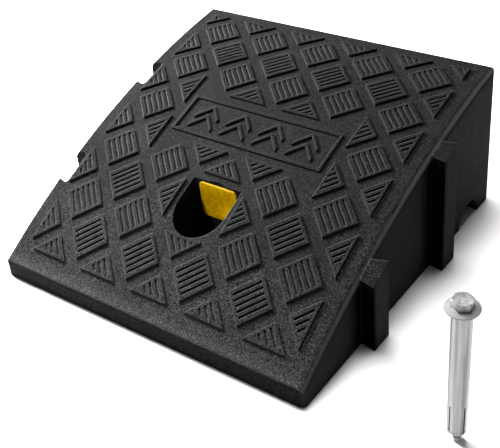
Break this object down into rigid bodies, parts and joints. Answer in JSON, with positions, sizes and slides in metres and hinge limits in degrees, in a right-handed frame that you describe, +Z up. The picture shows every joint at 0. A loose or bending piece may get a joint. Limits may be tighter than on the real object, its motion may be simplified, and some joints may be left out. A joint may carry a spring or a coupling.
{
  "type": "plastic kerb ramp",
  "caption": "Arched wedge that bridges a kerb, with chequered deck, dovetails along its sides, a pocket with reflector for its anchor, and the loose sleeve anchor.",
  "frame": {"origin": "on the ground, on the axis of the anchor hole in the pocket's floor", "axes": "+X along the kerb towards the tabs, +Y up the slope towards the kerb, +Z up"},
  "size_m": [0.6825, 0.5, 0.2151],
  "materials": {
    "black_plastic": "fine moulded grain",
    "yellow_plastic": "satin",
    "zinc_plated_steel": "bright zinc plating"
  },
  "bodies": {
    "ramp": {"ramp_body": "black_plastic", "reflector_plate": "yellow_plastic", "anchor_sleeve": "zinc_plated_steel"},
    "bolt": {"anchor_bolt": "zinc_plated_steel"},
    "nut": {"cone_nut": "zinc_plated_steel"}
  },
  "joints": [
    {"name": "bolt_turn", "type": "hinge", "parent": "ramp", "child": "bolt", "pos_m": [0.414, -0.094, 0], "axis": [0, 0, 1], "range_deg": [0, 1440]},
    {"name": "nut_travel", "type": "slide", "parent": "ramp", "child": "nut", "axis": [0, 0, -1], "range_m": [0, 0.007]}
  ],
  "couplings": [
    {"joint": "bolt_turn", "follows": "nut_travel", "rad_per_m": 3590.4}
  ]
}
